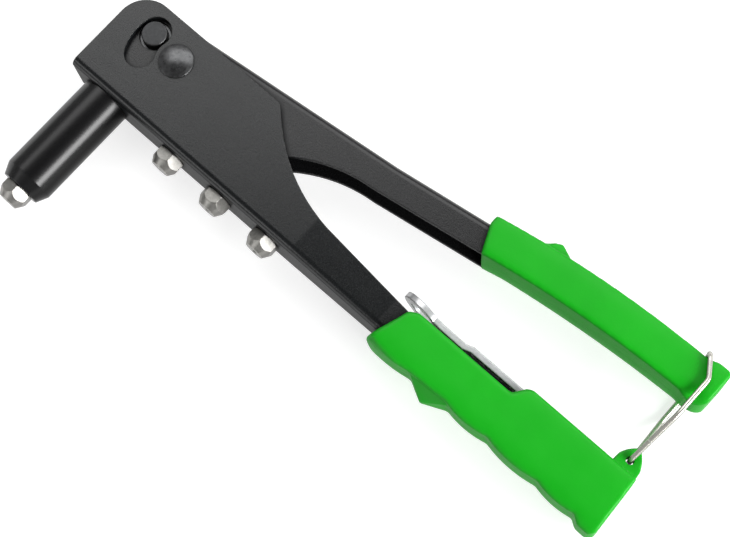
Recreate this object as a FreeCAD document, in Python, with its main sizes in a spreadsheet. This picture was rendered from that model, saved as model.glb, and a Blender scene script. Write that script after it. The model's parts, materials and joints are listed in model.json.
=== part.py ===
import FreeCAD, Part
import math
import os
import re
import Sketcher

# Hand riveter, lying on its side. Millimetres.
# Origin: centre of the fitted nosepiece's tip. +X leaves the nose along the barrel,
# +Y runs along the handles towards the grips, +Z is square to the cheeks.
# z = 0 is the tool's mid-plane.

doc = FreeCAD.newDocument("hand_riveter")

DIMENSIONS = {
    # stamped body: a channel whose web faces the nose
    "web_x": (-54.7, "outer face of the body's web"),
    "head_top": (-15.8, "top edge of the head, Y"),
    "back_x": (-94.6, "back edge of the head"),
    "head_round": (12.0, "radius of the head's back top corner"),
    "heel_y": (55.3, "corner where the back edge turns to the waist"),
    "heel_round": (4.0, "radius of that corner"),
    "slope_x": (-88.0, "start of the waist curve, X"),
    "slope_y": (62.5, "start of the waist curve, Y"),
    "waist_r": (73.0, "radius of the waist curve"),
    "neck_x": (-70.6, "end of the waist curve, X"),
    "neck_y": (101.0, "end of the waist curve, Y"),
    "mouth_x": (-67.0, "cheek's back edge where it enters the grip, X"),
    "mouth_y": (146.0, "the same point, Y"),
    "tang_x": (-64.5, "cheek's back edge at the tang's end"),
    "tang_y": (232.0, "end of the body's tang inside its grip"),
    "body_w": (25.0, "width over the body's cheeks"),
    "tang_w": (20.0, "width over the tang"),
    "taper_from": (96.5, "Y where the cheeks start to draw in"),
    "taper_to": (138.0, "Y where they reach the tang's width"),
    "sheet": (2.0, "sheet thickness of body and lever"),
    "bend": (3.0, "outside bend radius of body and lever"),
    "bend_in": (1.0, "inside bend radius"),
    # pivot and drive pin
    "pivot_x": (-81.0, "pivot axis, X"),
    "pivot_y": (14.3, "pivot axis, Y"),
    "pivot_r": (4.0, "rivet shank radius"),
    "running": (0.05, "radial running clearance"),
    "rivet_head_r": (6.7, "rivet head radius"),
    "rivet_head_high": (2.0, "rivet head height"),
    "rivet_flat_r": (0.6, "radius of the flat on the head's crown"),
    "rivet_dome": (1.6, "height of the head's dome"),
    "pin_arm": (14.57, "pivot to drive pin"),
    "pin_rest": (-101.1, "angle of the drive pin about the pivot, handles closed"),
    "pin_r": (5.0, "drive pin radius"),
    "pin_half": (12.2, "half length of the drive pin"),
    "slot_from": (-105.0, "angle of the slot's upper end"),
    "slot_to": (-62.5, "angle of the slot's lower end"),
    "slot_half": (6.0, "half width of the slot"),
    "bush_r": (6.05, "drive pin bush, spigot radius"),
    "bush_flange_r": (7.2, "drive pin bush, flange radius"),
    "bush_face": (8.6, "outer face of the bush, Z"),
    "bush_shoulder": (7.95, "shoulder of the bush, Z"),
    "bush_inner": (6.3, "inner face of the bush, Z"),
    # lever: a channel whose web faces away from the nose
    "lever_w": (20.0, "width over the lever's cheeks"),
    "lever_head_r": (21.5, "radius of the lever's head about the pivot"),
    "web_start": (8.0, "Y where the lever's web begins"),
    # barrel
    "sleeve_front": (-7.0, "front face of the sleeve"),
    "sleeve_r": (10.2, "sleeve radius"),
    "sleeve_nose_r": (8.0, "sleeve radius at its front face"),
    "sleeve_cone_x": (-11.8, "end of the sleeve's front cone"),
    "throat_x": (-13.0, "inside face of the sleeve's front wall"),
    "thread_r": (4.0, "nosepiece thread, hole radius"),
    "sleeve_bore": (7.15, "bore of the sleeve"),
    "spigot_r": (8.6, "sleeve spigot through the web"),
    "spigot_end": (-62.2, "end of the spigot"),
    "nut_r": (10.0, "ring nut radius"),
    "nut_long": (4.1, "ring nut length"),
    # nosepieces
    "hex_af": (11.0, "nosepiece, across flats"),
    "nose_len": (7.0, "nosepiece length outside its seat"),
    "tip_r": (4.0, "radius of the nosepiece's tip face"),
    "nose_cone": (3.76, "length of the cone up to the hex corners"),
    "shank_r": (3.95, "nosepiece shank radius"),
    "shank_end": (-14.0, "end of the shank from the tip"),
    "peg_r": (3.0, "opening peg radius at the shank"),
    "peg_tip_r": (2.4, "opening peg radius at its end"),
    "peg_end": (-16.5, "end of the opening peg from the tip"),
    "bore_fitted": (1.15, "mandrel bore for 3.2 mm rivets"),
    "bore_small": (0.85, "mandrel bore for 2.4 mm rivets"),
    "bore_medium": (1.35, "mandrel bore for 4.0 mm rivets"),
    "bore_large": (1.6, "mandrel bore for 4.8 mm rivets"),
    "spare_y": (34.8, "first spare nosepiece, Y"),
    "spare_pitch": (24.5, "pitch of the spare nosepieces"),
    # jaw set, all on the barrel axis
    "case_r": (7.05, "jaw case radius"),
    "case_front": (-23.7, "front face of the jaw case"),
    "case_back": (-52.0, "back face of the jaw case"),
    "cone_x": (-24.2, "start of the jaw cone"),
    "cone_r": (4.4, "jaw cone radius at its start"),
    "cone_back_x": (-33.8, "end of the jaw cone"),
    "case_bore": (6.1, "bore of the jaw case behind the cone"),
    "jaw_front": (-24.7, "front face of the jaws"),
    "jaw_back": (-32.6, "back face of the jaws"),
    "jaw_slack": (0.25, "jaw to cone"),
    "jaw_part": (0.1, "half the gap between the closed jaws"),
    "mandrel_r": (0.9, "groove of the jaws"),
    "pusher_front": (-32.75, "front face of the jaw pusher"),
    "pusher_back": (-36.9, "back face of the pusher's flange"),
    "pusher_tail": (-40.0, "end of the pusher's tail"),
    "spring_front": (-37.8, "first coil of the spring"),
    "spring_back": (-45.4, "last coil of the spring"),
    "spring_r": (4.3, "mean radius of the spring"),
    "spring_wire": (0.5, "radius of the spring's wire"),
    "spring_turns": (5.0, "turns of the spring"),
    "bar_front": (-46.2, "front face of the draw bar"),
    "bar_thread_r": (6.05, "draw bar thread radius"),
    "bar_r": (4.0, "draw bar radius"),
    "eye_half_x": (7.8, "half length of the draw bar's eye"),
    "eye_gap": (0.3, "drive pin to eye, along the barrel"),
    "eye_low": (-7.2, "edge of the eye, Y"),
    "eye_high": (8.2, "edge of the eye, Y"),
    "eye_w": (12.0, "width of the eye"),
    "ring_r": (6.9, "lock ring radius"),
    "ring_long": (2.8, "lock ring length"),
    # grips
    "grip_w": (25.0, "width of both grips"),
    "grip_round": (1.4, "edge radius of the grips"),
    "rib_w": (13.0, "width of the thumb and finger ribs"),
    "fit_gap": (0.1, "tang to grip"),
    "lug_x": (-79.8, "latch hole, X"),
    "lug_y": (238.8, "latch hole, Y"),
    "lug_r": (1.6, "latch hole radius"),
    "lug_w": (8.0, "thickness of the latch lug"),
    # nosepiece wrench and wire latch
    "wrench_face": (-71.1, "face of the wrench's shank against its grip, X"),
    "wrench_thick": (2.3, "wrench sheet"),
    "wrench_head_y": (147.6, "centre of the wrench's head, Y"),
    "wrench_head_r": (9.8, "radius of the wrench's head"),
    "wrench_half": (8.0, "half width of the wrench's shank"),
    "wrench_end": (222.0, "end of the wrench's shank"),
    "wrench_hex": (11.3, "wrench opening, across flats"),
    "pocket_gap": (0.3, "wrench to its pocket"),
    "wire_r": (1.0, "latch wire radius"),
    "wire_bar_x": (-126.7, "latch wire's cross bar, X"),
    "wire_leg_z": (14.0, "latch wire's legs beside the grip, Z"),
}

sheet = doc.addObject("Spreadsheet::Sheet", "Dims")
for row, (alias, (number, meaning)) in enumerate(DIMENSIONS.items(), start=1):
    sheet.set("A%d" % row, meaning)
    sheet.set("B%d" % row, str(number))
    sheet.setAlias("B%d" % row, alias)
sheet.recompute()


def bound(text):
    """Write an expression on the sheet's aliases the way the document wants it."""
    return re.sub(r"[a-z_]+", lambda word: "Dims." * (word[0] in DIMENSIONS) + word[0], text)


def value(text):
    return float(sheet.evalExpression(bound(text)))


# ---------------------------------------------------------------- sketches
def new_body(label):
    body = doc.addObject("PartDesign::Body", label)
    body.Label = label
    return body


def new_sketch(body, name, role, offset=None):
    sketch = body.newObject("Sketcher::SketchObject", name)
    base = [plane for plane in body.Origin.OriginFeatures if plane.Role == role][0]
    sketch.AttachmentSupport = [(base, "")]
    sketch.MapMode = "FlatFace"
    if offset is not None:
        sketch.setExpression("AttachmentOffset.Base.z", bound(offset))
    return sketch


def fix(sketch, kind, where, text):
    index = sketch.addConstraint(Sketcher.Constraint(kind, *where, value(text)))
    sketch.setExpression("Constraints[%d]" % index, bound(text))


def arc_between(start, stop, radius, turn):
    """The short arc from start to stop: turn 1 bends left, -1 bends right."""
    chord = stop - start
    rise = math.sqrt(radius**2 - (chord.Length / 2) ** 2)
    left = FreeCAD.Vector(-chord.y, chord.x, 0).normalize()
    centre = start + chord * 0.5 + left * rise * turn
    angles = [math.atan2(end.y - centre.y, end.x - centre.x) for end in (start, stop)]
    circle = Part.Circle(centre, FreeCAD.Vector(0, 0, 1), radius)
    return Part.ArcOfCircle(circle, *(angles if turn > 0 else reversed(angles)))


def outline(sketch, points):
    """A closed loop through points: (x, y) comes by a line, (x, y, radius, turn) by an arc."""
    spots = [FreeCAD.Vector(value(point[0]), value(point[1]), 0) for point in points]
    ends = []
    for number, point in enumerate(points):
        start, stop = spots[number - 1], spots[number]
        if len(point) == 2:
            edge = sketch.addGeometry(Part.LineSegment(start, stop))
            ends.append((edge, 1, 2))
            continue
        edge = sketch.addGeometry(arc_between(start, stop, value(point[2]), point[3]))
        ends.append((edge, 1, 2) if point[3] > 0 else (edge, 2, 1))
        fix(sketch, "Radius", (edge,), point[2])
    for number, (edge, _, stop) in enumerate(ends):
        following, start, _ = ends[(number + 1) % len(ends)]
        sketch.addConstraint(Sketcher.Constraint("Coincident", edge, stop, following, start))
        fix(sketch, "DistanceX", (-1, 1, edge, stop), points[number][0])
        fix(sketch, "DistanceY", (-1, 1, edge, stop), points[number][1])


def ring(sketch, x, y, radius):
    centre = FreeCAD.Vector(value(x), value(y), 0)
    edge = sketch.addGeometry(Part.Circle(centre, FreeCAD.Vector(0, 0, 1), value(radius)))
    fix(sketch, "DistanceX", (-1, 1, edge, 3), x)
    fix(sketch, "DistanceY", (-1, 1, edge, 3), y)
    fix(sketch, "Radius", (edge,), radius)


def hexagon(across_flats, centre_x="0"):
    corner = "(%s) / 2 / cos(30)" % across_flats
    return [
        ("%s + %s * cos(%d)" % (centre_x, corner, angle), "%s * sin(%d)" % (corner, angle))
        for angle in range(0, 360, 60)
    ]


# ---------------------------------------------------------------- features
def pad(body, name, sketch, length, symmetric=True):
    feature = body.newObject("PartDesign::Pad", name)
    feature.Profile = sketch
    feature.setExpression("Length", bound(length))
    if symmetric:
        feature.SideType = "Symmetric"
    doc.recompute()
    return feature


def pocket(body, name, sketch, length, symmetric=True):
    before = body.Shape.Volume
    feature = body.newObject("PartDesign::Pocket", name)
    feature.Profile = sketch
    feature.setExpression("Length", bound(length))
    if symmetric:
        feature.SideType = "Symmetric"
    doc.recompute()
    if not body.Shape.Volume < before - 0.01:
        raise RuntimeError("%s of %s cut nothing" % (name, body.Label))
    return feature


def turned(body, kind, name, sketch, axis="H_Axis", angle=360, symmetric=False):
    """Revolution or Groove about the sketch's own horizontal or vertical axis."""
    before = body.Shape.Volume if kind == "Groove" else None
    feature = body.newObject("PartDesign::" + kind, name)
    feature.Profile = sketch
    feature.ReferenceAxis = (sketch, [axis])
    feature.Angle = angle
    feature.Midplane = symmetric
    doc.recompute()
    if before is not None and not body.Shape.Volume < before - 0.001:
        raise RuntimeError("%s of %s cut nothing" % (name, body.Label))
    return feature


def rounded(body, name, base, radius, wanted):
    """Fillet the edges of base for which wanted(edge) is true."""
    edges = ["Edge%d" % n for n, edge in enumerate(base.Shape.Edges, start=1) if wanted(edge)]
    if not edges:
        raise RuntimeError("%s of %s found no edge" % (name, body.Label))
    feature = body.newObject("PartDesign::Fillet", name)
    feature.Base = (base, edges)
    feature.setExpression("Radius", bound(radius))
    doc.recompute()
    return feature


def upright_at(x, y):
    """Edges square to the XY plane that stand at x, y."""
    spot = FreeCAD.Vector(value(x), value(y), 0)

    def wanted(edge):
        flat = [FreeCAD.Vector(corner.Point.x, corner.Point.y, 0) for corner in edge.Vertexes]
        return len(flat) == 2 and all(point.distanceToPoint(spot) < 0.01 for point in flat)

    return wanted


def along_face(z, low_y, high_y):
    """Edges that lie in the planes z and -z, between two values of Y."""

    def wanted(edge):
        box = edge.BoundBox
        flat = abs(box.ZMax - box.ZMin) < 0.001 and abs(abs(box.ZMax) - z) < 0.001
        return flat and box.YMin > low_y - 0.01 and box.YMax < high_y + 0.01

    return wanted


PIN_X = "(pivot_x + pin_arm * cos(pin_rest))"
PIN_Y = "(pivot_y + pin_arm * sin(pin_rest))"


def place(part, x="0", y="0", z="0"):
    for axis, text in (("x", x), ("y", y), ("z", z)):
        part.setExpression("Placement.Base." + axis, bound(text))


def turn(part, axis, degrees):
    part.Placement = FreeCAD.Placement(part.Placement.Base, FreeCAD.Rotation(FreeCAD.Vector(*axis), degrees))


# ---------------------------------------------------------------- body
def channel_cut(name, body, half):
    """Everything inside the cheeks, behind the web, following the taper of the neck."""
    sketch = new_sketch(body, name, "YZ_Plane", "web_x - sheet")
    corners = [
        ("head_top - 10", "body_w / 2 - " + half),
        ("taper_from", "body_w / 2 - " + half),
        ("taper_to", "tang_w / 2 - " + half),
        ("tang_y + 10", "tang_w / 2 - " + half),
    ]
    mirror = [(y, "-(%s)" % z) for y, z in reversed(corners)]
    outline(sketch, corners + mirror)
    return sketch


def make_body_frame():
    body = new_body("body_frame")
    side = new_sketch(body, "side", "XY_Plane")
    outline(
        side,
        [
            ("web_x", "head_top"),
            ("web_x", "tang_y"),
            ("tang_x", "tang_y"),
            ("mouth_x", "mouth_y"),
            ("neck_x", "neck_y"),
            ("slope_x", "slope_y", "waist_r", -1),
            ("back_x", "heel_y"),
            ("back_x", "head_top"),
        ],
    )
    blank = pad(body, "blank", side, "body_w")
    blank = rounded(body, "head_corner", blank, "head_round", upright_at("back_x", "head_top"))
    blank = rounded(body, "heel_corner", blank, "heel_round", upright_at("back_x", "heel_y"))
    taper = new_sketch(body, "taper", "YZ_Plane")
    for side_of in ("", "-"):
        outline(
            taper,
            [
                ("taper_from", side_of + "(body_w / 2)"),
                ("taper_to", side_of + "(tang_w / 2)"),
                ("tang_y + 5", side_of + "(tang_w / 2)"),
                ("tang_y + 5", side_of + "(body_w / 2 + 5)"),
                ("taper_from", side_of + "(body_w / 2 + 5)"),
            ],
        )
    neck = pocket(body, "neck", taper, "400")
    front = value("web_x")
    bends = rounded(
        body, "bends", neck, "bend",
        lambda edge: abs(edge.BoundBox.XMin - front) < 0.01
        and abs(edge.BoundBox.XMax - front) < 0.01
        and edge.BoundBox.YLength > 5,
    )
    channel = pocket(body, "channel", channel_cut("channel_shape", body, "sheet"), "80", symmetric=False)
    inside = value("web_x - sheet")
    rounded(
        body, "inner_bends", channel, "bend_in",
        lambda edge: abs(edge.BoundBox.XMin - inside) < 0.01
        and abs(edge.BoundBox.XMax - inside) < 0.01
        and edge.BoundBox.YLength > 5,
    )
    pivot = new_sketch(body, "pivot_hole_shape", "XY_Plane")
    ring(pivot, "pivot_x", "pivot_y", "pivot_r + running")
    pocket(body, "pivot_hole", pivot, "body_w + 10")
    ends = new_sketch(body, "slot_end_shape", "XY_Plane")
    sector = new_sketch(body, "slot_shape", "XY_Plane")

    def on_arc(offset, angle):
        radius = "(pin_arm + %s * slot_half)" % offset
        return "pivot_x + %s * cos(%s)" % (radius, angle), "pivot_y + %s * sin(%s)" % (radius, angle)

    outline(
        sector,
        [
            on_arc("1", "slot_from"),
            on_arc("1", "slot_to") + ("pin_arm + slot_half", 1),
            on_arc("-1", "slot_to"),
            on_arc("-1", "slot_from") + ("pin_arm - slot_half", -1),
        ],
    )
    pocket(body, "slot", sector, "body_w + 10")
    ring(ends, *on_arc("0", "slot_from"), "slot_half")
    pocket(body, "slot_upper_end", ends, "body_w + 10")
    last = new_sketch(body, "slot_last_shape", "XY_Plane")
    ring(last, *on_arc("0", "slot_to"), "slot_half")
    pocket(body, "slot_lower_end", last, "body_w + 10")
    barrel = new_sketch(body, "barrel_hole_shape", "YZ_Plane", "web_x + 1")
    ring(barrel, "0", "0", "spigot_r + running")
    pocket(body, "barrel_hole", barrel, "sheet + 2", symmetric=False)
    seats = new_sketch(body, "spare_seat_shape", "YZ_Plane", "web_x + 1")
    for number in range(3):
        ring(seats, "spare_y + %d * spare_pitch" % number, "0", "thread_r")
    pocket(body, "spare_seats", seats, "sheet + 2", symmetric=False)
    return body


def make_lever():
    body = new_body("lever")
    back = [("-94.8", "web_start"), ("-105.9", "104.3"), ("-112.0", "143.9"), ("-118.8", "185"), ("-121.6", "228")]
    side = new_sketch(body, "side", "XY_Plane")
    top = ("pivot_x + lever_head_r * cos(-125)", "pivot_y + lever_head_r * sin(-125)")
    face = ("pivot_x + lever_head_r", "pivot_y")
    low = ("pivot_x", "pivot_y - lever_head_r")
    outline(
        side,
        back
        + [
            ("-112.5", "228"),
            ("-108.9", "188"),
            ("-101.2", "150"),
            ("-93.4", "102.7"),
            ("-81.8", "71.2", "62", 1),
            ("-62.0", "44.0"),
            face,
            low + ("lever_head_r", -1),
            top + ("lever_head_r", -1),
        ],
    )
    blank = pad(body, "blank", side, "lever_w")
    web_top, web_end = value("web_start") - 0.01, 228.01
    half = value("lever_w / 2")

    def along_back(edge):
        if len(edge.Vertexes) != 2:
            return False
        ends = [corner.Point for corner in edge.Vertexes]
        flat = all(abs(abs(end.z) - half) < 0.001 for end in ends) and abs(ends[0].z - ends[1].z) < 0.001
        known = {(round(value(x), 2), round(value(y), 2)) for x, y in back}
        there = all((round(end.x, 2), round(end.y, 2)) in known for end in ends)
        return flat and there and all(web_top < end.y < web_end for end in ends)

    bends = rounded(body, "bends", blank, "bend", along_back)
    hollow = new_sketch(body, "channel_shape", "XY_Plane")
    outline(
        hollow,
        [("-130", "-30"), ("-130", "web_start")]
        + [("%s + sheet" % x, y) for x, y in back]
        + [("-121.6 + sheet", "235"), ("-40", "235"), ("-40", "-30")],
    )
    pocket(body, "channel", hollow, "lever_w - 2 * sheet")
    for name, x, y, radius in (
        ("pivot_hole", "pivot_x", "pivot_y", "pivot_r + running"),
        ("pin_hole", PIN_X, PIN_Y, "bush_r + running"),
    ):
        hole = new_sketch(body, name + "_shape", "XY_Plane")
        ring(hole, x, y, radius)
        pocket(body, name, hole, "lever_w + 10")
    return body


# ---------------------------------------------------------------- pivot
def spun_about_z(label, profile):
    """A turned piece on the Z axis: profile is (radius, z)."""
    body = new_body(label)
    shape = new_sketch(body, "profile", "XZ_Plane")
    outline(shape, profile)
    turned(body, "Revolution", "turning", shape, axis="V_Axis")
    return body


def make_pivot():
    top, edge = "body_w / 2 + rivet_head_high", "body_w / 2 + rivet_head_high - rivet_dome"
    rise = "((rivet_head_r^2 - rivet_flat_r^2 + rivet_dome^2) / (2 * rivet_dome))"
    dome = "sqrt(rivet_flat_r^2 + %s^2)" % rise
    rivet = spun_about_z(
        "pivot_rivet",
        [
            ("0", "-(%s)" % top),
            ("rivet_flat_r", "-(%s)" % top),
            ("rivet_head_r", "-(%s)" % edge, dome, 1),
            ("rivet_head_r", "-body_w / 2"),
            ("pivot_r", "-body_w / 2"),
            ("pivot_r", "body_w / 2"),
            ("rivet_head_r", "body_w / 2"),
            ("rivet_head_r", edge),
            ("rivet_flat_r", top, dome, 1),
            ("0", top),
        ],
    )
    bush = spun_about_z(
        "pivot_bush",
        [
            ("pivot_r + running", "-(lever_w / 2 - sheet - 0.1)"),
            ("pivot_r + 1.2", "-(lever_w / 2 - sheet - 0.1)"),
            ("pivot_r + 1.2", "lever_w / 2 - sheet - 0.1"),
            ("pivot_r + running", "lever_w / 2 - sheet - 0.1"),
        ],
    )
    for part in (rivet, bush):
        place(part, "pivot_x", "pivot_y")


def make_drive_pin():
    pin = spun_about_z(
        "drive_pin",
        [
            ("0", "-pin_half"),
            ("pin_r - 0.3", "-pin_half"),
            ("pin_r", "-(pin_half - 0.3)"),
            ("pin_r", "pin_half - 0.3"),
            ("pin_r - 0.3", "pin_half"),
            ("0", "pin_half"),
        ],
    )
    place(pin, PIN_X, PIN_Y)
    for label, flip in (("drive_pin_bush_near", 0), ("drive_pin_bush_far", 180)):
        bush = spun_about_z(
            label,
            [
                ("pin_r + running", "bush_inner"),
                ("bush_flange_r", "bush_inner"),
                ("bush_flange_r", "bush_shoulder"),
                ("bush_r", "bush_shoulder"),
                ("bush_r", "bush_face"),
                ("pin_r + running", "bush_face"),
            ],
        )
        turn(bush, (1, 0, 0), flip)
        place(bush, PIN_X, PIN_Y)


# ---------------------------------------------------------------- barrel
def spun_about_x(label, profile):
    """A turned piece on the barrel axis: profile is (x, radius)."""
    body = new_body(label)
    shape = new_sketch(body, "profile", "XY_Plane")
    outline(shape, profile)
    turned(body, "Revolution", "turning", shape)
    return body


def make_barrel():
    spun_about_x(
        "barrel_sleeve",
        [
            ("sleeve_front", "thread_r"),
            ("sleeve_front", "sleeve_nose_r"),
            ("sleeve_cone_x", "sleeve_r"),
            ("web_x", "sleeve_r"),
            ("web_x", "spigot_r"),
            ("spigot_end", "spigot_r"),
            ("spigot_end", "sleeve_bore"),
            ("throat_x", "sleeve_bore"),
            ("throat_x", "thread_r"),
        ],
    )
    nut = spun_about_x(
        "barrel_nut",
        [
            ("web_x - sheet - 0.05", "spigot_r + running"),
            ("web_x - sheet - 0.05", "nut_r"),
            ("web_x - sheet - nut_long", "nut_r"),
            ("web_x - sheet - nut_long", "spigot_r + running"),
        ],
    )
    notch = new_sketch(nut, "notch_shape", "YZ_Plane", "web_x - sheet - nut_long + 2")
    corners = [("nut_r - 0.9", "-1.6"), ("nut_r + 2", "-1.6"), ("nut_r + 2", "1.6"), ("nut_r - 0.9", "1.6")]
    outline(notch, corners)
    cut = pocket(nut, "notch", notch, "5", symmetric=False)
    notches = nut.newObject("PartDesign::PolarPattern", "notches")
    notches.Originals = [cut]
    notches.Axis = ([axis for axis in nut.Origin.OriginFeatures if axis.Role == "X_Axis"][0], [""])
    notches.Angle = 360
    notches.Occurrences = 4
    nut.Tip = notches


def make_nosepiece(label, bore, spin):
    """A nosepiece on its own axes: tip at the origin, pointing along +X."""
    body = new_body(label)
    hex_shape = new_sketch(body, "hex_shape", "YZ_Plane", "-nose_len")
    outline(hex_shape, hexagon("hex_af"))
    pad(body, "hex", hex_shape, "nose_len", symmetric=False)
    stem = new_sketch(body, "stem_shape", "XY_Plane")
    outline(
        stem,
        [
            ("-nose_len + 0.5", "0"),
            ("-nose_len + 0.5", "shank_r"),
            ("shank_end + 0.4", "shank_r"),
            ("shank_end", "shank_r - 0.4"),
            ("shank_end", "peg_r"),
            ("peg_end", "peg_tip_r"),
            ("peg_end", "0"),
        ],
    )
    turned(body, "Revolution", "stem", stem)
    cone = new_sketch(body, "cone_shape", "XY_Plane")
    corner = "hex_af / 2 / cos(30)"
    outline(cone, [("0", "tip_r"), ("-nose_cone", corner + " + 0.01"), ("1", corner + " + 4"), ("1", "tip_r")])
    turned(body, "Groove", "cone", cone)
    back = new_sketch(body, "back_shape", "XY_Plane")
    low, wide = "-nose_len - 0.01", corner + " + 0.02"
    outline(back, [(low, "hex_af / 2 - 0.1"), (low, wide), ("-nose_len + 0.45", wide)])
    turned(body, "Groove", "back_chamfer", back)
    hole = new_sketch(body, "bore_shape", "XY_Plane")
    outline(hole, [("1", "0"), ("1", bore), ("peg_end - 1", bore), ("peg_end - 1", "0")])
    turned(body, "Groove", "bore", hole)
    turn(body, (1, 0, 0), spin)
    return body


def make_nosepieces():
    make_nosepiece("nosepiece_fitted", "bore_fitted", 21)
    spares = (("small", "bore_small", 12), ("medium", "bore_medium", 5), ("large", "bore_large", 26))
    for number, (size, bore, spin) in enumerate(spares):
        spare = make_nosepiece("nosepiece_spare_" + size, bore, spin)
        place(spare, "web_x + nose_len", "spare_y + %d * spare_pitch" % number)


# ---------------------------------------------------------------- jaw set
CONE_SLOPE = "((case_bore - cone_r) / (cone_x - cone_back_x))"


def jaw_radius(x):
    return "cone_r + (cone_x - (%s)) * %s - jaw_slack" % (x, CONE_SLOPE)


def make_jaw_case():
    spun_about_x(
        "jaw_case",
        [
            ("case_front", "cone_r"),
            ("case_front", "case_r - 1.8"),
            ("case_front - 1.8", "case_r"),
            ("case_back", "case_r"),
            ("case_back", "case_bore"),
            ("cone_back_x", "case_bore"),
            ("cone_x", "cone_r"),
        ],
    )
    spun_about_x(
        "lock_ring",
        [
            ("case_back - 0.1", "bar_r + running"),
            ("case_back - 0.1", "ring_r"),
            ("case_back - ring_long", "ring_r"),
            ("case_back - ring_long", "bar_r + running"),
        ],
    )
    spun_about_x(
        "jaw_pusher",
        [
            ("pusher_front", "1.5"),
            ("pusher_front", "case_bore - 0.6"),
            ("pusher_back", "case_bore - 0.2"),
            ("pusher_back", "spring_r - spring_wire - 0.4"),
            ("pusher_tail", "spring_r - spring_wire - 0.4"),
            ("pusher_tail", "1.5"),
        ],
    )


def make_jaw(label, flip):
    """Half a cone with a toothed groove; the upper jaw lies on the +Y side."""
    body = new_body(label)
    half = new_sketch(body, "half_shape", "XY_Plane")
    outline(
        half,
        [
            ("jaw_front", "0"),
            ("jaw_front", jaw_radius("jaw_front")),
            ("jaw_back", jaw_radius("jaw_back")),
            ("jaw_back", "0"),
        ],
    )
    turned(body, "Revolution", "half_cone", half, angle=180, symmetric=True)
    groove = new_sketch(body, "groove_shape", "XY_Plane")
    teeth = []
    pitch = (value("jaw_front") - value("jaw_back") - 1.2) / 7
    for number in range(7):
        root = "jaw_front - 1.2 - %.4f" % (pitch * (number + 1))
        crest = "jaw_front - 1.2 - %.4f" % (pitch * (number + 0.6))
        teeth += [(crest, "mandrel_r + 0.25"), (root, "mandrel_r")]
    outline(
        groove,
        [("jaw_front + 1", "0"), ("jaw_front + 1", "3.0"), ("jaw_front - 1.2", "mandrel_r")]
        + teeth
        + [("jaw_back - 1", "mandrel_r"), ("jaw_back - 1", "0")],
    )
    turned(body, "Groove", "groove", groove)
    turn(body, (1, 0, 0), flip)
    place(body, y="jaw_part" if flip == 0 else "-jaw_part")


def make_jaw_spring():
    helix = doc.addObject("Part::Helix", "spring_line")
    helix.setExpression("Radius", bound("spring_r"))
    helix.setExpression("Pitch", bound("(spring_front - spring_back) / spring_turns"))
    helix.setExpression("Height", bound("spring_front - spring_back"))
    section = doc.addObject("Part::Circle", "spring_section")
    section.setExpression("Radius", bound("spring_wire"))
    section.setExpression("Placement.Base.x", bound("spring_r"))
    section.Placement.Rotation = FreeCAD.Rotation(FreeCAD.Vector(1, 0, 0), 90)
    doc.recompute()
    spring = doc.addObject("Part::Sweep", "jaw_spring")
    spring.Label = "jaw_spring"
    spring.Sections = [section]
    spring.Spine = (helix, ["Edge1"])
    spring.Solid = True
    spring.Frenet = True
    spring.Placement = FreeCAD.Placement(
        FreeCAD.Vector(value("spring_back"), 0, 0), FreeCAD.Rotation(FreeCAD.Vector(0, 1, 0), 90)
    )
    spring.setExpression("Placement.Base.x", bound("spring_back"))


def make_draw_bar():
    bar = spun_about_x(
        "draw_bar",
        [
            ("bar_front", "0"),
            ("bar_front", "bar_thread_r"),
            ("case_back + 0.1", "bar_thread_r"),
            ("case_back + 0.1", "bar_r"),
            (PIN_X + " + 2", "bar_r"),
            (PIN_X + " + 2", "0"),
        ],
    )
    eye = new_sketch(bar, "eye_shape", "XY_Plane")
    low, high = PIN_X + " - eye_half_x", PIN_X + " + eye_half_x"
    outline(eye, [(low, "eye_low"), (high, "eye_low"), (high, "eye_high"), (low, "eye_high")])
    block = pad(bar, "eye", eye, "eye_w")
    for name, x, y in (
        ("corner_a", low, "eye_low"), ("corner_b", high, "eye_low"),
        ("corner_c", high, "eye_high"), ("corner_d", low, "eye_high"),
    ):
        block = rounded(bar, name, block, "5.5", upright_at(x, y))
    slot = new_sketch(bar, "eye_slot_shape", "XY_Plane")
    near, far = PIN_X + " - pin_r - eye_gap", PIN_X + " + pin_r + eye_gap"
    outline(slot, [(near, "-pin_r - 0.7"), (far, "-pin_r - 0.7"), (far, "pin_r + 1.8"), (near, "pin_r + 1.8")])
    hole = pocket(bar, "eye_slot", slot, "eye_w + 4")
    for name, x, y in (
        ("slot_a", near, "-pin_r - 0.7"), ("slot_b", far, "-pin_r - 0.7"),
        ("slot_c", far, "pin_r + 1.8"), ("slot_d", near, "pin_r + 1.8"),
    ):
        hole = rounded(bar, name, hole, "3", upright_at(x, y))


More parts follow.
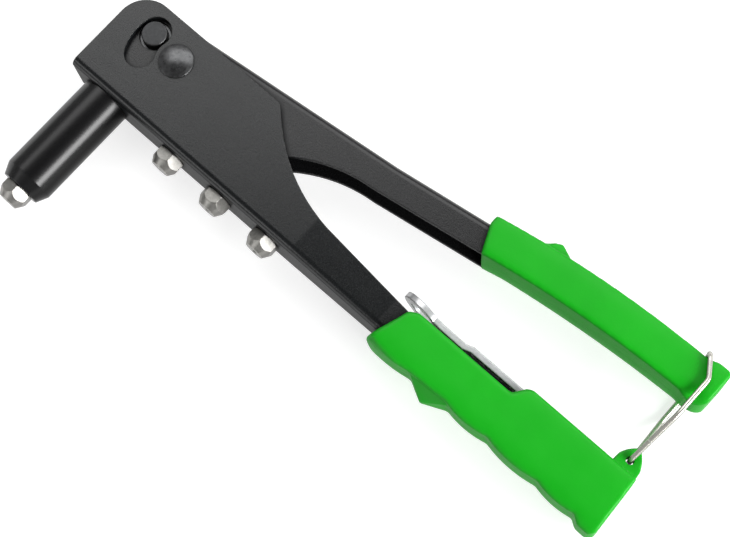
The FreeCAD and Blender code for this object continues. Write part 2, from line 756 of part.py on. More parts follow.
# ---------------------------------------------------------------- grips
def make_lower_grip():
    body = new_body("lower_grip")
    side = new_sketch(body, "side", "XY_Plane")
    outline(
        side,
        [
            ("-50.3", "139.9"),
            ("-50.4", "158.0", "41", 1),
            ("-51.2", "176.0"),
            ("-51.4", "195.6", "37", 1),
            ("-51.4", "218.9", "48.5", 1),
            ("-51.2", "236.3", "34.4", 1),
            ("-49.0", "239.5"),
            ("-48.9", "243.6"),
            ("-51.6", "246.3", "2.8", 1),
            ("-75.0", "245.0"),
            ("-75.0", "197.0"),
            ("-73.8", "195.0"),
            ("-69.0", "191.8"),
            ("-69.1", "147.8"),
            ("-67.0", "144.4"),
            ("-54.0", "140.6"),
        ],
    )
    blank = pad(body, "blank", side, "grip_w")
    blank = rounded(body, "edges", blank, "grip_round", along_face(value("grip_w / 2"), 0, 400))
    rib = new_sketch(body, "finger_rib_shape", "XY_Plane")
    outline(rib, [("-53", "160.5"), ("-50.4", "160.5"), ("-46.2", "168.0"), ("-50.9", "176.8"), ("-53", "176.8")])
    pad(body, "finger_rib", rib, "rib_w")
    lug = new_sketch(body, "lug_shape", "XY_Plane")
    outline(
        lug,
        [
            ("-72", "233.5"),
            ("-79.4", "233.8"),
            ("-84.9", "237.6", "12", -1),
            ("-84.3", "240.6", "1.9", -1),
            ("-79.0", "244.2", "16", -1),
            ("-72", "244.8"),
        ],
    )
    pad(body, "lug", lug, "lug_w")
    hollow = new_sketch(body, "tang_shape", "XY_Plane")
    slope = "(tang_x - mouth_x) / (tang_y - mouth_y)"
    outline(
        hollow,
        [
            ("web_x + fit_gap", "130"),
            ("web_x + fit_gap", "tang_y + 0.5"),
            ("tang_x - fit_gap", "tang_y + 0.5"),
            ("mouth_x + (130 - mouth_y) * %s - fit_gap - 1" % slope, "130"),
        ],
    )
    pocket(body, "tang_socket", hollow, "tang_w + 2 * fit_gap")
    slot = new_sketch(body, "wrench_pocket_shape", "XY_Plane")
    outline(
        slot,
        [
            ("wrench_face + pocket_gap", "188"),
            ("wrench_face + pocket_gap", "wrench_end + 1"),
            ("wrench_face - wrench_thick - pocket_gap", "wrench_end + 1"),
            ("wrench_face - wrench_thick - pocket_gap", "188"),
        ],
    )
    pocket(body, "wrench_pocket", slot, "2 * wrench_half + 2 * pocket_gap")
    hole = new_sketch(body, "lug_hole_shape", "XY_Plane")
    ring(hole, "lug_x", "lug_y", "lug_r")
    pocket(body, "lug_hole", hole, "lug_w + 4")


def make_upper_grip():
    body = new_body("upper_grip")
    side = new_sketch(body, "side", "XY_Plane")
    outline(
        side,
        [
            ("-111.8", "144.8"),
            ("-100.7", "149.8"),
            ("-109.5", "235.2", "520", -1),
            ("-108.0", "238.4"),
            ("-108.0", "241.0"),
            ("-112.8", "246.2", "5.6", 1),
            ("-123.4", "246.2"),
            ("-126.3", "243.4", "3.0", 1),
            ("-126.3", "240.6"),
            ("-124.9", "236.2"),
            ("-115.4", "144.8", "430", 1),
        ],
    )
    blank = pad(body, "blank", side, "grip_w")
    rounded(body, "edges", blank, "grip_round", along_face(value("grip_w / 2"), 0, 400))
    rib = new_sketch(body, "thumb_rib_shape", "XY_Plane")
    outline(rib, [("-116", "164.6"), ("-118.6", "164.6"), ("-122.4", "169.0"), ("-120.4", "175.2"), ("-116", "175.2")])
    pad(body, "thumb_rib", rib, "rib_w")
    hollow = new_sketch(body, "tang_shape", "XY_Plane")
    outline(
        hollow,
        [
            ("-110.5 - fit_gap", "134"),
            ("-112.0 - fit_gap", "143.9"),
            ("-118.8 - fit_gap", "185"),
            ("-121.6 - fit_gap", "228.4"),
            ("-112.5 + fit_gap", "228.4"),
            ("-108.9 + fit_gap", "188"),
            ("-101.2 + fit_gap", "150"),
            ("-98.6 + fit_gap", "134"),
        ],
    )
    pocket(body, "tang_socket", hollow, "lever_w + 2 * fit_gap")


# ---------------------------------------------------------------- wrench and latch
def make_wrench():
    body = new_body("wrench")
    side = new_sketch(body, "side", "XY_Plane")
    inner = [
        ("-71.9", "wrench_head_y - wrench_head_r"),
        ("-70.1", "157.0"),
        ("-70.0", "167.6"),
        ("wrench_face", "170.8"),
        ("wrench_face", "wrench_end"),
    ]
    outer = [("%s - wrench_thick" % x, y) for x, y in reversed(inner)]
    outline(side, inner + outer)
    blank = pad(body, "blank", side, "2 * wrench_head_r")
    plan = new_sketch(body, "plan_shape", "YZ_Plane")
    outline(plan, [("120", "-20"), ("240", "-20"), ("240", "20"), ("120", "20")])
    join = "wrench_head_y + sqrt(wrench_head_r^2 - wrench_half^2)"
    outline(
        plan,
        [
            ("wrench_end", "-wrench_half"),
            ("wrench_end", "wrench_half"),
            (join, "wrench_half"),
            ("wrench_head_y - wrench_head_r", "0", "wrench_head_r", 1),
            (join, "-wrench_half", "wrench_head_r", 1),
        ],
    )
    pocket(body, "plan", plan, "400")
    hole = new_sketch(body, "hex_shape", "YZ_Plane")
    outline(hole, hexagon("wrench_hex", "wrench_head_y"))
    pocket(body, "hex", hole, "400")
    return blank


def rounded_path(points, radii):
    """Straight runs through points, joined by tangent arcs at the inner points."""
    edges = []
    start = points[0]
    for number in range(1, len(points) - 1):
        before, corner, after = points[number - 1 : number + 2]
        come = (before - corner).normalize()
        go = (after - corner).normalize()
        half = come.getAngle(go) / 2
        reach = radii[number - 1] / math.tan(half)
        middle = (come + go).normalize()
        crown = corner + middle * (radii[number - 1] / math.sin(half) - radii[number - 1])
        entry, leave = corner + come * reach, corner + go * reach
        edges.append(Part.LineSegment(start, entry).toShape())
        edges.append(Part.Arc(entry, crown, leave).toShape())
        start = leave
    edges.append(Part.LineSegment(start, points[-1]).toShape())
    return Part.Wire(edges)


def make_wire_latch():
    """One bent wire: through the lug's hole, up both sides of the other grip, over its back."""
    latch = doc.addObject("Part::Feature", "wire_latch")
    latch.Label = "wire_latch"
    hole_x, hole_y = value("lug_x"), value("lug_y")
    bar_x, leg_z = value("wire_bar_x"), value("wire_leg_z")
    near_hole = FreeCAD.Vector(hole_x, hole_y, value("lug_w / 2") + 1.2)
    far_hole = FreeCAD.Vector(hole_x, hole_y, -near_hole.z)
    near_spread = FreeCAD.Vector(hole_x - 22, hole_y + 2.2, leg_z - 0.1)
    far_spread = FreeCAD.Vector(hole_x - 22, hole_y - 1.2, -leg_z + 0.1)
    near_kink = FreeCAD.Vector(bar_x + 8.2, hole_y + 2.3, leg_z)
    far_kink = FreeCAD.Vector(bar_x + 8.2, hole_y - 1.3, -leg_z)
    near_top = FreeCAD.Vector(bar_x, hole_y - 3.4, leg_z - 0.5)
    far_top = FreeCAD.Vector(bar_x, hole_y - 3.4, -leg_z + 0.5)
    leg = (near_spread - near_hole).normalize()
    joint = 9.5
    gap = 0.4
    points = [
        near_hole + leg * joint,
        near_hole,
        far_hole,
        far_spread,
        far_kink,
        far_top,
        near_top,
        near_kink,
        near_spread,
        near_hole + leg * (joint + gap),
    ]
    path = rounded_path(points, [1.8, 1.8, 12.0, 4.0, 3.2, 3.2, 4.0, 12.0])
    start = path.Edges[0]
    section = Part.Wire(Part.makeCircle(value("wire_r"), start.valueAt(0), start.tangentAt(0)))
    latch.Shape = path.makePipeShell([section], True, True)
    latch.Placement = FreeCAD.Placement()


make_body_frame()
make_lever()
make_pivot()
make_drive_pin()
make_barrel()
make_nosepieces()
make_jaw_case()
make_jaw("jaw_upper", 0)
make_jaw("jaw_lower", 180)
make_jaw_spring()
make_draw_bar()
make_lower_grip()
make_upper_grip()
make_wrench()
make_wire_latch()
doc.recompute()

NODES = [
    "body_frame", "barrel_sleeve", "barrel_nut", "nosepiece_fitted", "nosepiece_spare_small",
    "nosepiece_spare_medium", "nosepiece_spare_large", "pivot_rivet", "pivot_bush", "lower_grip",
    "lever", "upper_grip", "drive_pin", "drive_pin_bush_near", "drive_pin_bush_far", "draw_bar",
    "lock_ring", "jaw_case", "jaw_spring", "jaw_upper", "jaw_lower", "jaw_pusher", "wrench", "wire_latch",
]

for item in doc.Objects:
    if "Invalid" in item.State or "Error" in item.State:
        raise RuntimeError("%s failed: %s" % (item.Label, item.State))
os.makedirs("parts", exist_ok=True)
parts = [doc.getObjectsByLabel(label)[0] for label in NODES]
for part in parts:
    if part.Shape.isNull() or not part.Shape.isValid() or len(part.Shape.Solids) != 1:
        raise RuntimeError("%s has no sound solid" % part.Label)
for part in parts:
    part.Shape.exportStep("parts/%s.step" % part.Label)
    box = part.Shape.BoundBox
    print("%-24s %9.1f mm3  x %.1f..%.1f  y %.1f..%.1f  z %.1f..%.1f" % (
        part.Label, part.Shape.Volume, box.XMin, box.XMax, box.YMin, box.YMax, box.ZMin, box.ZMax))
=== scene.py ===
import json
import math

import bmesh
import bpy
from mathutils import Matrix, Vector


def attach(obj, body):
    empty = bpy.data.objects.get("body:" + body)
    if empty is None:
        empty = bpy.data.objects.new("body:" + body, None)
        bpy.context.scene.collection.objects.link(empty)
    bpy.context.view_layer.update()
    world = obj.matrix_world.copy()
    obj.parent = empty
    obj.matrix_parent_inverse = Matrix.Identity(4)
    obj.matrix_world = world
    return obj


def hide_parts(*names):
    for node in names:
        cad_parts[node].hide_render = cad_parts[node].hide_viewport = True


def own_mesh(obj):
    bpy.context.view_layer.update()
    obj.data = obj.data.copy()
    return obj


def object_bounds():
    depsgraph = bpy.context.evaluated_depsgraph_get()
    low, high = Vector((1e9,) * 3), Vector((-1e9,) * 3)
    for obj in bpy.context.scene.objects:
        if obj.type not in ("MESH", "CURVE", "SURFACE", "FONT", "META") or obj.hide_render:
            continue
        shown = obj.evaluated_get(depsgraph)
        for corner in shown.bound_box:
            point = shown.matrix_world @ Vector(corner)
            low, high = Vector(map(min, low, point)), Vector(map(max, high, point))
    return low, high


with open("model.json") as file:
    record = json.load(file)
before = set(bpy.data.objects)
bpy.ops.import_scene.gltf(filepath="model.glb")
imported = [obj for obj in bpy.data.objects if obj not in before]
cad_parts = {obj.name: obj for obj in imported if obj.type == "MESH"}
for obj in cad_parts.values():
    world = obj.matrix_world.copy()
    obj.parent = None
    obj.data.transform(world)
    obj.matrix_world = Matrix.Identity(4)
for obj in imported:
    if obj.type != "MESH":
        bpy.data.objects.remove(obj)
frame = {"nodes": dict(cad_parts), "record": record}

CAD_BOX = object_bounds()
MM = 0.001
scene = bpy.context.scene


# ---------------------------------------------------------------- node materials
class Look:
    """One procedural material: a Principled shader and short names for the nodes that feed it."""

    def __init__(self, name, **values):
        self.material = bpy.data.materials.new(name)
        self.material.use_nodes = True
        self.tree = self.material.node_tree
        self.tree.nodes.clear()
        out = self.node("OutputMaterial")
        self.shader = self.node("BsdfPrincipled")
        self.tree.links.new(self.shader.outputs[0], out.inputs["Surface"])
        for socket, value in values.items():
            self.shader.inputs[socket.replace("_", " ")].default_value = value
        self.place = self.node("TexCoord").outputs["Object"]
        self.flat = self.node("NewGeometry").outputs["Normal"]

    def node(self, kind, **settings):
        made = self.tree.nodes.new("ShaderNode" + kind)
        for name, value in settings.items():
            setattr(made, name, value)
        return made

    def put(self, socket, value):
        """Link a socket, or set it where value is a plain number or colour."""
        if isinstance(value, bpy.types.NodeSocket):
            self.tree.links.new(value, socket)
        else:
            socket.default_value = value

    def to(self, name, value):
        self.put(self.shader.inputs[name], value)

    def noise(self, size_mm, detail=3.0, roughness=0.55, stretch=(1, 1, 1)):
        """Noise whose features are about size_mm across, drawn out along the axes by stretch."""
        mapping = self.node("Mapping")
        self.put(mapping.inputs["Vector"], self.place)
        mapping.inputs["Scale"].default_value = [1 / (size_mm * MM) / s for s in stretch]
        noise = self.node("TexNoise")
        self.put(noise.inputs["Vector"], mapping.outputs[0])
        noise.inputs["Scale"].default_value = 1.0
        noise.inputs["Detail"].default_value = detail
        noise.inputs["Roughness"].default_value = roughness
        return noise.outputs["Fac"]

    def cells(self, size_mm):
        """Distance from the middle of rounded cells about size_mm across."""
        mapping = self.node("Mapping")
        self.put(mapping.inputs["Vector"], self.place)
        mapping.inputs["Scale"].default_value = [1 / (size_mm * MM)] * 3
        cells = self.node("TexVoronoi", feature="SMOOTH_F1")
        self.put(cells.inputs["Vector"], mapping.outputs[0])
        cells.inputs["Scale"].default_value = 1.0
        return cells.outputs["Distance"]

    def math(self, operation, first, second=0.0, clamp=False):
        made = self.node("Math", operation=operation, use_clamp=clamp)
        self.put(made.inputs[0], first)
        self.put(made.inputs[1], second)
        return made.outputs[0]

    def range(self, value, low, high, new_low=0.0, new_high=1.0):
        made = self.node("MapRange")
        for socket, number in zip(made.inputs, (value, low, high, new_low, new_high)):
            self.put(socket, number)
        return made.outputs["Result"]

    def blend(self, amount, first, second):
        made = self.node("Mix", data_type="RGBA")
        self.put(made.inputs["Factor"], amount)
        for name, colour in (("A", first), ("B", second)):
            socket = [s for s in made.inputs if s.name == name and s.type == "RGBA"][0]
            self.put(socket, colour if isinstance(colour, bpy.types.NodeSocket) else (*colour, 1.0))
        return [s for s in made.outputs if s.type == "RGBA"][0]

    def soft_edge(self, radius_mm):
        """The normal of the surface with its sharp edges rounded to radius_mm."""
        bevel = self.node("Bevel", samples=6)
        bevel.inputs["Radius"].default_value = radius_mm * MM
        return bevel.outputs["Normal"]

    def edges(self, normal, low=0.02, high=0.25):
        """1 on sharp edges, 0 on plain faces."""
        dot = self.node("VectorMath", operation="DOT_PRODUCT")
        self.put(dot.inputs[0], normal)
        self.put(dot.inputs[1], self.flat)
        return self.range(self.math("SUBTRACT", 1.0, dot.outputs["Value"]), low, high)

    def bump(self, height, depth_mm, strength=1.0, normal=None):
        bump = self.node("Bump")
        bump.inputs["Strength"].default_value = strength
        bump.inputs["Distance"].default_value = depth_mm * MM
        self.put(bump.inputs["Height"], height)
        if normal is not None:
            self.put(bump.inputs["Normal"], normal)
        return bump.outputs["Normal"]

    def open_to_air(self, reach_mm):
        """0 deep in crevices and close gaps, 1 on open faces."""
        air = self.node("AmbientOcclusion", samples=8)
        air.inputs["Distance"].default_value = reach_mm * MM
        return air.outputs["AO"]

    def flank(self, low=0.25, high=0.85):
        """1 on faces that stand upright, 0 on faces that lie flat."""
        return self.range(self.math("ABSOLUTE", self.part_of(self.flat, 2)), low, high, 1.0, 0.0)

    def part_of(self, vector, index):
        """One component of a vector: 0 is X, 1 is Y, 2 is Z."""
        split = self.node("SeparateXYZ")
        self.put(split.inputs[0], vector)
        return split.outputs[index]


def powder_coat(name, dark, light, rough, edge_mm, grain_mm):
    """Baked black coating: fine orange peel and specks, faint cloudiness and edges worn bright, rougher
    on upright faces, and with reflections cut back on upright faces and in crevices as painted shade."""
    look = Look(name, Metallic=0.0, IOR=1.5, Coat_Roughness=0.3)
    soft = look.soft_edge(edge_mm)
    edge = look.edges(soft)
    cloud = look.noise(34, detail=4)
    chips = look.noise(1.6, detail=4, roughness=0.7)
    speck = look.noise(0.5, detail=3, roughness=0.6)
    wear = look.math("MULTIPLY", edge, look.range(chips, 0.42, 0.66), clamp=True)
    coat = look.blend(look.range(cloud, 0.3, 0.7), dark, light)
    coat = look.blend(look.range(speck, 0.40, 0.75, 0.0, 0.6), coat, [c * 2.6 for c in light])
    bare_steel = (0.23, 0.225, 0.22)
    look.to("Base Color", look.blend(look.math("MULTIPLY", wear, 0.55), coat, bare_steel))
    scuffs = look.noise(5, detail=5, roughness=0.65, stretch=(1, 3.5, 1))
    spread = look.range(scuffs, 0.3, 0.72, rough - 0.015, rough + 0.035)
    flank = look.flank(0.25, 0.62)
    spread = look.math("ADD", spread, look.math("MULTIPLY", flank, 0.16))
    look.to("Roughness", look.math("SUBTRACT", spread, look.math("MULTIPLY", edge, 0.08)))
    # Painted shade: reflections are cut back in crevices, and on upright faces, which also lose the clear
    # coat.
    crevice_shaded_gloss = look.range(look.open_to_air(2.2), 0.45, 0.98, 0.06, 0.5)
    look.to("Specular IOR Level", look.math("MULTIPLY", crevice_shaded_gloss, look.range(flank, 0.0, 1.0, 1.0, 0.05)))
    look.to("Coat Weight", look.range(flank, 0.0, 1.0, 0.08, 0.0))
    peel = look.math("ADD", look.math("MULTIPLY", look.noise(1.1, detail=2), 0.5), speck)
    look.to("Normal", look.bump(peel, grain_mm, 0.8, soft))
    return look.material


# How far the tool lines are drawn out along each axis.
ROUND_X, ROUND_Z, ALONG_Y = (1, 14, 14), (14, 14, 1), (1, 40, 1)


def fine_metal(name, bright, dim, metallic, rough, spread, edge_mm, brush, groove_mm, painted_edge_tone, painted_shade):
    """Machined, plated or smooth black metal: mottled from dim to bright, with fine tool lines drawn
    out by brush; its edges given a painted tone (a painted highlight where paler than the face, a
    painted dark outline where darker) and its upright faces darkened and reflecting less as painted shade."""
    look = Look(name, Metallic=metallic, IOR=1.5)
    soft = look.soft_edge(edge_mm)
    lines = look.noise(0.22, detail=3, stretch=brush)
    mottle = look.noise(1.4, detail=5, roughness=0.65)
    base = look.blend(look.range(mottle, 0.32, 0.68), dim, bright)
    flank = look.flank(0.35, 0.80)
    # Painted shade: upright faces are darkened towards the shade colour here and reflect less below.
    base = look.blend(flank, base, painted_shade)
    edge = look.edges(soft, 0.02, 0.20)
    # Painted edge light: the edges take the edge tone, a painted highlight on most metals and a painted
    # dark outline on the wrench.
    look.to("Base Color", look.blend(look.math("MULTIPLY", edge, 0.8), base, painted_edge_tone))
    look.to("Specular IOR Level", look.range(flank, 0.0, 1.0, 0.5, 0.15))
    sum_of = look.math("ADD", look.math("MULTIPLY", lines, 0.5), look.math("MULTIPLY", mottle, 0.5))
    look.to("Roughness", look.range(sum_of, 0.3, 0.7, rough, rough + spread))
    look.to("Normal", look.bump(lines, groove_mm, 0.5, soft))
    return look.material


def moulded_plastic(name):
    """Bright green vinyl: satin skin with a fine eroded texture, faint cloudiness and marks, a mould
    seam along the mid-plane, and flanks darkened and dulled as painted shade, with reflections
    also cut back in crevices as painted shade."""
    look = Look(name, IOR=1.42, Subsurface_Weight=0.04)
    look.shader.inputs["Subsurface Radius"].default_value = (0.4, 1.0, 0.3)
    look.shader.inputs["Subsurface Scale"].default_value = 0.8 * MM
    cloud = look.noise(26, detail=4)
    skin = look.noise(0.55, detail=3, roughness=0.6)
    pits = look.cells(0.8)
    base = look.blend(look.range(cloud, 0.3, 0.7), (0.006, 0.375, 0.009), (0.009, 0.425, 0.012))
    marks = look.noise(3.2, detail=6, roughness=0.72, stretch=(1, 2.4, 1))
    base = look.blend(look.range(marks, 0.66, 0.82, 0.0, 0.30), base, (0.004, 0.33, 0.008))
    seam = look.math("ABSOLUTE", look.part_of(look.place, 2))
    seam = look.range(seam, 0.10 * MM, 0.32 * MM, 1.0, 0.0)
    base = look.blend(look.math("MULTIPLY", seam, 0.25), base, (0.003, 0.28, 0.006))
    flank = look.flank()
    # Painted shade: upright flanks are darkened half way to a deep green.
    painted_shade_green = (0.003, 0.17, 0.006)
    look.to("Base Color", look.blend(look.math("MULTIPLY", flank, 0.5), base, painted_shade_green))
    # Painted shade: reflections are cut back in crevices and on the flanks.
    crevice_shaded_gloss = look.range(look.open_to_air(2.0), 0.4, 0.95, 0.1, 1.0)
    look.to("Specular IOR Level", look.math("MULTIPLY", crevice_shaded_gloss, look.range(flank, 0.0, 1.0, 0.32, 0.02)))
    look.to("Roughness", look.range(look.math("ADD", skin, marks), 0.7, 1.3, 0.30, 0.46))
    height = look.math("ADD", look.math("MULTIPLY", skin, 0.7), look.math("MULTIPLY", pits, 0.5))
    height = look.math("ADD", height, look.math("MULTIPLY", seam, 2.2))
    look.to("Normal", look.bump(height, 0.05, 0.5))
    return look.material


def grey(level):
    return (level, level, level)


# The metals' edge tones below are painted highlights (a painted dark outline on the wrench) and their
# flank colours painted shade.
MATERIALS = {
    "body_black": powder_coat(
        "body_coat", dark=(0.0050, 0.0056, 0.0060), light=(0.0072, 0.0080, 0.0084),
        rough=0.19, edge_mm=0.45, grain_mm=0.05),
    "lever_black": powder_coat(
        "lever_coat", dark=(0.0055, 0.0057, 0.0060), light=(0.0078, 0.0080, 0.0085),
        rough=0.22, edge_mm=0.45, grain_mm=0.05),
    "sleeve_black": fine_metal(
        "sleeve_finish", bright=(0.0040, 0.0040, 0.0044), dim=(0.0026, 0.0026, 0.0029),
        metallic=0.0, rough=0.26, spread=0.010, edge_mm=0.4, brush=ROUND_X, groove_mm=0.0005,
        painted_edge_tone=grey(0.05), painted_shade=grey(0.002)),
    "dark_steel": fine_metal(
        "blackened_steel", bright=(0.150, 0.152, 0.155), dim=(0.085, 0.086, 0.088),
        metallic=0.9, rough=0.24, spread=0.12, edge_mm=0.35, brush=ROUND_Z, groove_mm=0.008,
        painted_edge_tone=grey(0.20), painted_shade=grey(0.02)),
    "pin_steel": fine_metal(
        "oiled_pin_steel", bright=(0.062, 0.063, 0.065), dim=(0.040, 0.041, 0.042),
        metallic=0.9, rough=0.26, spread=0.12, edge_mm=0.35, brush=ROUND_Z, groove_mm=0.008,
        painted_edge_tone=grey(0.36), painted_shade=grey(0.05)),
    "steel": fine_metal(
        "ground_steel", bright=(0.48, 0.48, 0.49), dim=(0.36, 0.36, 0.37),
        metallic=1.0, rough=0.26, spread=0.12, edge_mm=0.2, brush=ROUND_X, groove_mm=0.012,
        painted_edge_tone=grey(0.62), painted_shade=(0.34, 0.34, 0.35)),
    "nickel": fine_metal(
        "nickel_plate", bright=(0.42, 0.41, 0.385), dim=(0.27, 0.265, 0.25),
        metallic=0.85, rough=0.30, spread=0.10, edge_mm=0.36, brush=ROUND_X, groove_mm=0.004,
        painted_edge_tone=(0.95, 0.94, 0.89), painted_shade=(0.20, 0.195, 0.185)),
    "wrench_chrome": fine_metal(
        "bright_plate", bright=(0.88, 0.89, 0.90), dim=(0.72, 0.73, 0.74),
        metallic=0.6, rough=0.20, spread=0.08, edge_mm=0.75, brush=ALONG_Y, groove_mm=0.0004,
        painted_edge_tone=grey(0.03), painted_shade=(0.26, 0.26, 0.27)),
    "wire": fine_metal(
        "drawn_wire", bright=(0.82, 0.80, 0.74), dim=(0.70, 0.68, 0.61),
        metallic=0.7, rough=0.18, spread=0.06, edge_mm=0.1, brush=ALONG_Y, groove_mm=0.0003,
        painted_edge_tone=(0.7, 0.68, 0.6), painted_shade=(0.10, 0.093, 0.075)),
    "grip_green": moulded_plastic("moulded_green"),
}

slot_of = {part["node"]: part["material_slot"] for part in frame["record"]["subparts"]}
slot_of["drive_pin"] = "pin_steel"  # oilier than the other blackened pieces
for node, piece in frame["nodes"].items():
    piece.data.materials.clear()
    piece.data.materials.append(MATERIALS[slot_of[node]])


# ---------------------------------------------------------------- moulded grips
def arc(start, stop, radius, turn, steps):
    """Points after start up to stop on the short arc; turn 1 bends left, -1 right."""
    chord = stop - start
    rise = math.sqrt(max(radius**2 - (chord.length / 2) ** 2, 0.0))
    left = Vector((-chord.y, chord.x)).normalized()
    centre = start + chord / 2 + left * rise * turn
    first = start - centre
    sweep = 2 * math.asin(min(1.0, chord.length / 2 / radius)) * turn
    return [centre + Matrix.Rotation(sweep * n / steps, 2) @ first for n in range(1, steps + 1)]


def outline(points, steps=14):
    """A closed loop in millimetres: (x, y) comes by a line, (x, y, radius, turn) by an arc."""
    loop = []
    for number, point in enumerate(points):
        stop = Vector(point[:2])
        start = Vector(points[number - 1][:2])
        loop += [stop] if len(point) == 2 else arc(start, stop, point[2], point[3], steps)
    return loop


def prism(name, loop, low, high):
    """A closed block over a loop of points, from z = low to z = high, in millimetres."""
    shape = bmesh.new()
    base = [shape.verts.new((p.x * MM, p.y * MM, low * MM)) for p in loop]
    face = shape.faces.new(base)
    moved = bmesh.ops.extrude_face_region(shape, geom=[face])["geom"]
    rise = Vector((0, 0, (high - low) * MM))
    bmesh.ops.translate(shape, verts=[v for v in moved if isinstance(v, bmesh.types.BMVert)], vec=rise)
    bmesh.ops.recalc_face_normals(shape, faces=shape.faces)
    mesh = bpy.data.meshes.new(name)
    shape.to_mesh(mesh)
    shape.free()
    made = bpy.data.objects.new(name, mesh)
    scene.collection.objects.link(made)
    return made


def settled(piece):
    """Apply every modifier of a piece to its mesh."""
    bpy.context.view_layer.update()
    graph = bpy.context.evaluated_depsgraph_get()
    mesh = bpy.data.meshes.new_from_object(piece.evaluated_get(graph))
    piece.modifiers.clear()
    piece.data = mesh
    return piece


def joined(name, pieces):
    """One object out of several closed blocks."""
    shape = bmesh.new()
    for piece in pieces:
        shape.from_mesh(piece.data)
        bpy.data.objects.remove(piece)
    mesh = bpy.data.meshes.new(name)
    shape.to_mesh(mesh)
    shape.free()
    made = bpy.data.objects.new(name, mesh)
    scene.collection.objects.link(made)
    return made


GRIP_HALF = 12.45  # half of the grips' thickness
SOCKET_HALF = 10.1  # half of the width of the hollows that take the steel tangs
DRAFT_RUN = 14.0  # how far from the mouth the draft takes to reach its full depth
LIP_BULGE, LIP_SLANT = 2.2, 1.2
TOE_THINNED_FRONT, TOE_THINNED_BACK = 0.16, 0.60
MELT_GRAIN, EASE_PASSES = 0.6, 9
SHARP_ANGLE = math.radians(38)


def peaked(piece, spot, share):
    """Narrow a block across the tool to a share of its width at one corner of its outline."""
    for vertex in piece.data.vertices:
        if (Vector(vertex.co[:2]) / MM - Vector(spot)).length < 0.01:
            vertex.co.z *= share
    return piece


def span(value, low, high):
    """0 up to low, 1 from high on, straight between them."""
    return min(1.0, max(0.0, (value - low) / (high - low)))


def bowed(spot, middle, half, crown, draft):
    """A point of a grip with its broad faces crowned and its -Z flanks drawn in; millimetres.

    middle holds the two ends of the grip's middle line, half is the half width there, crown the
    share of the thickness lost at the edges, and draft the share of the width lost at -Z.
    """
    (x_low, y_low), (x_high, y_high) = middle
    x, y, z = spot
    core = x_low + (x_high - x_low) * (y - y_low) / (y_high - y_low)
    depth = max(0.0, -z / GRIP_HALF)
    drawn = 1 - draft * span(y, y_low, y_low + DRAFT_RUN) * depth**3
    fall = crown if x > core else crown * 0.3
    return Vector((core + (x - core) * drawn, y, z * (1 - fall * min(((x - core) / half) ** 4, 1.4))))


def lower_bow(spot):
    """As bowed, and the mouth's front lip rounded forward at mid-width."""
    lip = (1 - span(spot.y, 140.0, 152.0)) * span(spot.x, -62.0, -51.0)
    spot.y -= LIP_BULGE * lip * (1 - (spot.z / GRIP_HALF) ** 2)
    spot.x -= LIP_SLANT * lip * max(0.0, spot.z / GRIP_HALF) ** 4
    return bowed(spot, middle=((-61.5, 140.0), (-62.5, 245.0)), half=12.5, crown=0.12, draft=0.15)


def upper_bow(spot):
    """As bowed, and the toe of the end flange thinned to a rounded lip."""
    toe = span(spot.x, -115.0, -107.5) * span(spot.y, 232.0, 242.0)
    thinned = TOE_THINNED_FRONT if spot.z > 0 else TOE_THINNED_BACK
    spot.z *= 1 - thinned * toe * toe * (3 - 2 * toe)
    return bowed(spot, middle=((-107.5, 145.0), (-117.0, 240.0)), half=9.5, crown=0.13, draft=0.17)


def moulded(name, blocks, cutters, bow):
    """Blocks melted into one moulding, bent by bow, then cut by cutters."""
    piece = joined(name, blocks)
    melt = piece.modifiers.new("melt", "REMESH")
    melt.mode = "VOXEL"
    melt.voxel_size = MELT_GRAIN * MM
    ease = piece.modifiers.new("ease", "SMOOTH")
    ease.iterations = EASE_PASSES
    ease.factor = 0.5
    settled(piece)
    for vertex in piece.data.vertices:
        vertex.co = bow(vertex.co / MM) * MM
    for cutter in cutters:
        cut = piece.modifiers.new("cut", "BOOLEAN")
        cut.operation = "DIFFERENCE"
        cut.solver = "EXACT"
        cut.object = cutter
    settled(piece)
    for cutter in cutters:
        bpy.data.objects.remove(cutter)
    for face in piece.data.polygons:
        face.use_smooth = True
    piece.data.set_sharp_from_angle(angle=SHARP_ANGLE)
    return piece


lower_side = outline([
    (-50.3, 139.9), (-50.4, 158.0, 41, 1), (-51.2, 176.0), (-51.4, 195.6, 37, 1), (-51.4, 218.9, 48.5, 1),
    (-51.2, 236.3, 34.4, 1), (-49.0, 239.5), (-48.9, 243.6), (-51.6, 246.3, 2.8, 1), (-75.0, 245.0),
    (-75.0, 197.0), (-73.8, 195.0), (-69.0, 191.8), (-69.1, 147.8), (-67.0, 144.4), (-54.0, 140.6),
])
finger_rib = outline([(-53, 160.0), (-50.4, 160.0), (-46.0, 168.2), (-50.9, 177.2), (-53, 177.2)])
lug = outline([
    (-72, 244.8), (-72, 233.5), (-79.4, 233.8), (-84.9, 237.6, 12, -1), (-84.3, 240.6, 1.9, -1),
    (-79.0, 244.2, 16, -1),
])
lower_socket = outline([(-54.6, 130), (-54.6, 232.5), (-64.6, 232.5), (-68.0, 130)])
wrench_slot = outline([(-70.8, 188), (-70.8, 223), (-73.7, 223), (-73.7, 188)])
hole_spot, hole_radius, hole_sides = Vector((-79.8, 238.8)), 1.6, 24
turns = [Matrix.Rotation(math.tau * n / hole_sides, 2) for n in range(hole_sides)]
hole = [hole_spot + turn @ Vector((hole_radius, 0)) for turn in turns]
lower = moulded(
    "lower_grip_moulding",
    [
        prism("side", lower_side, -GRIP_HALF, GRIP_HALF),
        peaked(prism("rib", finger_rib, -9.0, 9.0), (-46.0, 168.2), 0.25),
        prism("lug", lug, -4.2, 4.2),
    ],
    [
        prism("socket", lower_socket, -SOCKET_HALF, SOCKET_HALF),
        prism("slot", wrench_slot, -8.3, 8.3),
        prism("hole", hole, -8, 8),
    ],
    lower_bow,
)

